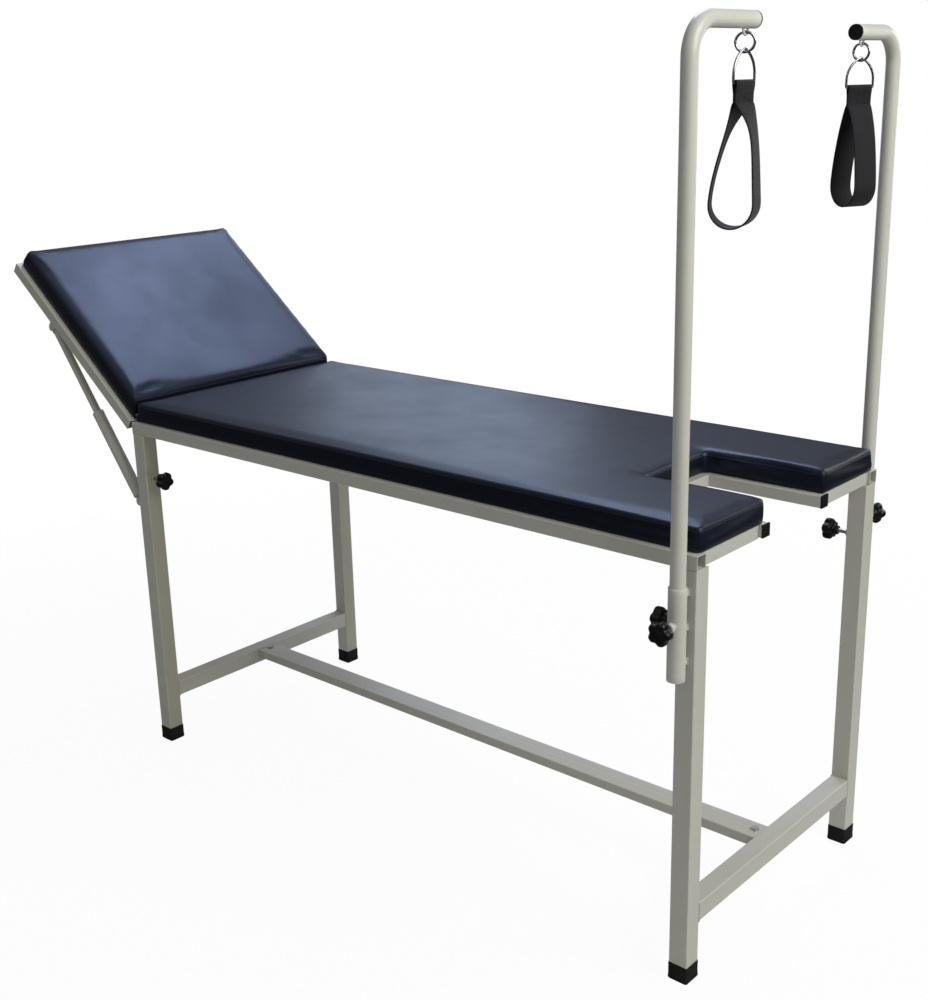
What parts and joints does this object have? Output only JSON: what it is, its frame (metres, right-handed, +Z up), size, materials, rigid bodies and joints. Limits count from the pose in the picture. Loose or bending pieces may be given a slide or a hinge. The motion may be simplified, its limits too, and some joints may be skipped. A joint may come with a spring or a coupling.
{
  "type": "examination table",
  "caption": "Padded examination table of square steel tube with a raised backrest on telescopic stays, a foot-end cut-out, and two height-adjustable poles carrying webbing leg slings.",
  "frame": {"origin": "on the floor under the middle of the table's overall length and width", "axes": "+X toward the foot end with the cut-out and sling poles, -Y the near side in the picture, +Z up"},
  "size_m": [1.8641, 0.7574, 1.5325],
  "materials": {
    "frame_paint": "satin",
    "steel": "satin",
    "black_plastic": "satin",
    "black_rubber": "matte",
    "navy_vinyl": "satin",
    "plywood": "matte",
    "chrome": "polished",
    "webbing": "matte"
  },
  "bodies": {
    "base": {"side_rail_near": "frame_paint", "side_rail_far": "frame_paint", "head_cross_rail": "frame_paint", "middle_cross_rail": "frame_paint", "cutout_cross_rail": "frame_paint", "cutout_rail_near": "frame_paint", "cutout_rail_far": "frame_paint", "foot_end_bar_near": "frame_paint", "foot_end_bar_far": "frame_paint", "cutout_rail_plugs": "black_plastic", "head_leg_near": "frame_paint", "head_leg_far": "frame_paint", "foot_leg_near": "frame_paint", "foot_leg_far": "frame_paint", "leg_stubs": "frame_paint", "leg_caps": "black_rubber", "head_stretcher": "frame_paint", "foot_stretcher": "frame_paint", "centre_stretcher": "frame_paint", "stretcher_bolts": "steel", "seat_board": "plywood", "seat_cushion": "navy_vinyl", "hinge_seat_leaves": "steel", "hinge_pins": "steel", "pole_sleeve_near": "frame_paint", "pole_sleeve_far": "frame_paint", "stay_leg_brackets": "frame_paint"},
    "backrest": {"back_rail_near": "frame_paint", "back_rail_far": "frame_paint", "back_head_rail": "frame_paint", "back_hinge_rail": "frame_paint", "back_board": "plywood", "back_cushion": "navy_vinyl", "hinge_back_leaves": "steel", "stay_back_brackets": "frame_paint"},
    "stay_outer_near": {"stay_outer_near": "frame_paint"},
    "stay_inner_near": {"stay_inner_near": "steel"},
    "stay_outer_far": {"stay_outer_far": "frame_paint"},
    "stay_inner_far": {"stay_inner_far": "steel"},
    "leg_knob_head_near": {"leg_knob_head_near": "black_plastic"},
    "leg_knob_head_far": {"leg_knob_head_far": "black_plastic"},
    "leg_knob_foot_near": {"leg_knob_foot_near": "black_plastic"},
    "leg_knob_foot_far": {"leg_knob_foot_far": "black_plastic"},
    "pole_knob_near": {"pole_knob_near": "black_plastic"},
    "pole_knob_far": {"pole_knob_far": "black_plastic"},
    "pole_plug_near": {"pole_foot_plug_near": "black_plastic"},
    "pole_near": {"pole_near": "frame_paint", "arm_plug_near": "black_plastic"},
    "ring_near": {"ring_near": "chrome"},
    "d_ring_near": {"d_ring_near": "chrome"},
    "strap_near": {"strap_near": "webbing"},
    "pole_plug_far": {"pole_foot_plug_far": "black_plastic"},
    "pole_far": {"pole_far": "frame_paint", "arm_plug_far": "black_plastic"},
    "ring_far": {"ring_far": "chrome"},
    "d_ring_far": {"d_ring_far": "chrome"},
    "strap_far": {"strap_far": "webbing"}
  },
  "joints": [
    {"name": "backrest_hinge", "type": "hinge", "parent": "base", "child": "backrest", "pos_m": [-0.522, 0, 0.751], "axis": [0, 1, 0], "range_deg": [-39, 6]},
    {"name": "stay_foot_pivot_near", "type": "hinge", "parent": "base", "child": "stay_outer_near", "pos_m": [-0.528, -0.285, 0.5725], "axis": [0, 1, 0], "range_deg": [-28.7, 4.5]},
    {"name": "stay_head_pivot_near", "type": "hinge", "parent": "backrest", "child": "stay_inner_near", "pos_m": [-0.80374, -0.285, 0.9354], "axis": [0, 1, 0], "range_deg": [-1.7, 10.5]},
    {"name": "stay_foot_pivot_far", "type": "hinge", "parent": "base", "child": "stay_outer_far", "pos_m": [-0.528, 0.285, 0.5725], "axis": [0, 1, 0], "range_deg": [-28.7, 4.5]},
    {"name": "stay_head_pivot_far", "type": "hinge", "parent": "backrest", "child": "stay_inner_far", "pos_m": [-0.80374, 0.285, 0.9354], "axis": [0, 1, 0], "range_deg": [-1.7, 10.5]},
    {"name": "leg_knob_head_near_turn", "type": "hinge", "parent": "base", "child": "leg_knob_head_near", "pos_m": [-0.47, -0.2825, 0.632], "axis": [1, 0, 0], "range_deg": [0, 360]},
    {"name": "leg_knob_head_far_turn", "type": "hinge", "parent": "base", "child": "leg_knob_head_far", "pos_m": [-0.47, 0.2825, 0.632], "axis": [1, 0, 0], "range_deg": [0, 360]},
    {"name": "leg_knob_foot_near_turn", "type": "hinge", "parent": "base", "child": "leg_knob_foot_near", "pos_m": [0.8685, -0.2825, 0.632], "axis": [-1, 0, 0], "range_deg": [0, 360]},
    {"name": "leg_knob_foot_far_turn", "type": "hinge", "parent": "base", "child": "leg_knob_foot_far", "pos_m": [0.8685, 0.2825, 0.632], "axis": [-1, 0, 0], "range_deg": [0, 360]},
    {"name": "pole_knob_near_turn", "type": "hinge", "parent": "base", "child": "pole_knob_near", "pos_m": [0.8985, -0.3597, 0.65], "axis": [0, -1, 0], "range_deg": [0, 360]},
    {"name": "pole_knob_far_turn", "type": "hinge", "parent": "base", "child": "pole_knob_far", "pos_m": [0.8865, 0.3597, 0.65], "axis": [0, 1, 0], "range_deg": [0, 360]},
    {"name": "pole_slide_near", "type": "slide", "parent": "base", "child": "pole_plug_near", "axis": [0, 0, 1], "range_m": [-0.25, 0.06]},
    {"name": "pole_turn_near", "type": "hinge", "parent": "pole_plug_near", "child": "pole_near", "pos_m": [0.8985, -0.3247, 1], "axis": [0, 0, 1], "range_deg": [-180, 180]},
    {"name": "ring_swing_near", "type": "hinge", "parent": "pole_near", "child": "ring_near", "pos_m": [0.8985, -0.182, 1.499], "axis": [0, 1, 0], "range_deg": [-30, 30]},
    {"name": "d_ring_swing_near", "type": "hinge", "parent": "ring_near", "child": "d_ring_near", "pos_m": [0.8985, -0.182, 1.47605], "axis": [0.866, 0.5, 0], "range_deg": [-25, 25]},
    {"name": "strap_swing_near", "type": "hinge", "parent": "d_ring_near", "child": "strap_near", "pos_m": [0.8985, -0.182, 1.43413], "axis": [0.1392, 0.9903, 0], "range_deg": [-40, 40]},
    {"name": "pole_slide_far", "type": "slide", "parent": "base", "child": "pole_plug_far", "axis": [0, 0, 1], "range_m": [-0.25, 0.06]},
    {"name": "pole_turn_far", "type": "hinge", "parent": "pole_plug_far", "child": "pole_far", "pos_m": [0.8865, 0.3247, 1], "axis": [0, 0, 1], "range_deg": [-180, 180]},
    {"name": "ring_swing_far", "type": "hinge", "parent": "pole_far", "child": "ring_far", "pos_m": [0.8865, 0.204, 1.485], "axis": [0, 1, 0], "range_deg": [-30, 30]},
    {"name": "d_ring_swing_far", "type": "hinge", "parent": "ring_far", "child": "d_ring_far", "pos_m": [0.8865, 0.204, 1.46205], "axis": [1, 0, 0], "range_deg": [-25, 20]},
    {"name": "strap_swing_far", "type": "hinge", "parent": "d_ring_far", "child": "strap_far", "pos_m": [0.8865, 0.204, 1.42013], "axis": [0.5878, 0.809, 0], "range_deg": [-40, 40]}
  ],
  "couplings": [
    {"joint": "stay_foot_pivot_near", "follows": "backrest_hinge", "ratio": 0.735},
    {"joint": "stay_head_pivot_near", "follows": "backrest_hinge", "ratio": -0.265},
    {"joint": "stay_foot_pivot_far", "follows": "backrest_hinge", "ratio": 0.735},
    {"joint": "stay_head_pivot_far", "follows": "backrest_hinge", "ratio": -0.265}
  ]
}
